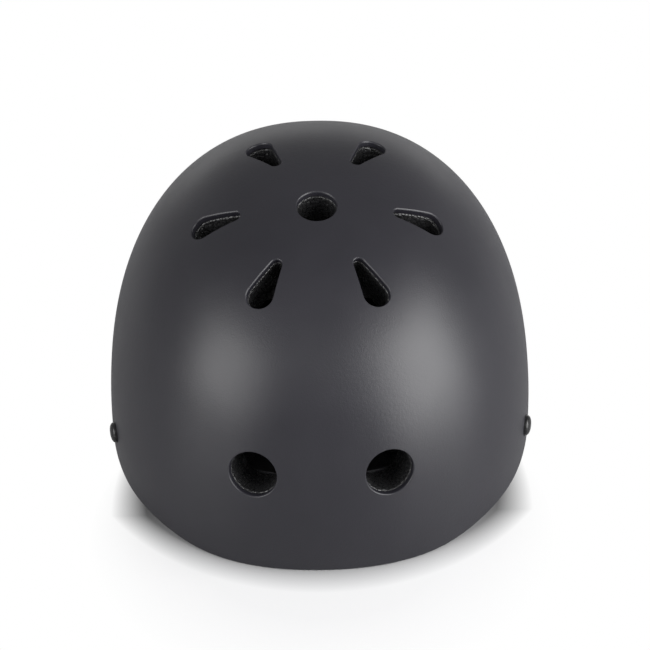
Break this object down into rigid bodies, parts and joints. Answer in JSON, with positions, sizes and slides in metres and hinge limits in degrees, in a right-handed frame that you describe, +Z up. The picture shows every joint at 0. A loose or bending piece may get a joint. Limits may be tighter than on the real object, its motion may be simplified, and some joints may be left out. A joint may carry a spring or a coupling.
{
  "type": "skateboard helmet",
  "caption": "Hard-shell skate helmet with a foam liner, round and teardrop vents, riveted side straps, a side-release buckle and comfort pads.",
  "frame": {"origin": "on the ground under the middle of the helmet's box", "axes": "+Z up through the crown, -Y towards the brow, +X towards the wearer's left as the helmet faces -Y, which is the right of a viewer at its front"},
  "size_m": [0.22, 0.2635, 0.1633],
  "materials": {
    "shell_plastic": "fine matte grain",
    "liner_foam": "moulded bead foam",
    "rivet_head": "black satin",
    "washer_nylon": "moulded",
    "nut_steel": "zinc plated",
    "webbing": "woven nylon",
    "buckle_plastic": "fine spark texture",
    "keeper_rubber": "soft matte",
    "pad_fabric": "brushed knit over foam",
    "hook_fabric": "moulded hooks"
  },
  "bodies": {
    "helmet": {"outer_shell": "shell_plastic", "eps_liner": "liner_foam", "hook_patches": "hook_fabric", "brow_pad": "pad_fabric", "rear_pad": "pad_fabric", "side_pad_left": "pad_fabric", "side_pad_right": "pad_fabric", "crown_pad": "pad_fabric", "rivet_front_left": "rivet_head", "rivet_front_right": "rivet_head", "rivet_rear_left": "rivet_head", "rivet_rear_right": "rivet_head", "rivet_washers": "washer_nylon", "rivet_nuts": "nut_steel"},
    "left_strap": {"front_strap_left": "webbing", "rear_strap_left": "webbing", "divider_left": "buckle_plastic", "chin_strap_left": "webbing", "buckle_socket": "buckle_plastic"},
    "right_strap": {"front_strap_right": "webbing", "rear_strap_right": "webbing", "divider_right": "buckle_plastic", "chin_strap_right": "webbing", "buckle_plug": "buckle_plastic"},
    "inner_prong": {"plug_prong_inner": "buckle_plastic"},
    "outer_prong": {"plug_prong_outer": "buckle_plastic"},
    "keeper": {"strap_keeper": "keeper_rubber"}
  },
  "joints": [
    {"name": "left_strap_fold", "type": "hinge", "parent": "helmet", "child": "left_strap", "pos_m": [-0.0925, 0, 0.0094], "axis": [0, 1, 0], "range_deg": [-35, 100], "deforming": ["front_strap_left", "rear_strap_left"]},
    {"name": "right_strap_fold", "type": "hinge", "parent": "helmet", "child": "right_strap", "pos_m": [0.0925, 0, 0.0094], "axis": [0, -1, 0], "range_deg": [-35, 100], "deforming": ["front_strap_right", "rear_strap_right"]},
    {"name": "outer_prong_squeeze", "type": "hinge", "parent": "right_strap", "child": "outer_prong", "pos_m": [0.03267, -0.06682, 0.0048], "axis": [0, 0, -1], "range_deg": [0, 9], "stiffness_Nm_per_rad": 0.8},
    {"name": "inner_prong_squeeze", "type": "hinge", "parent": "right_strap", "child": "inner_prong", "pos_m": [0.01346, -0.05786, 0.0048], "axis": [0, 0, 1], "range_deg": [0, 9], "stiffness_Nm_per_rad": 0.8},
    {"name": "keeper_slide", "type": "slide", "parent": "right_strap", "child": "keeper", "axis": [-0.4226, -0.9063, 0], "range_m": [-0.0085, 0.0015]}
  ]
}
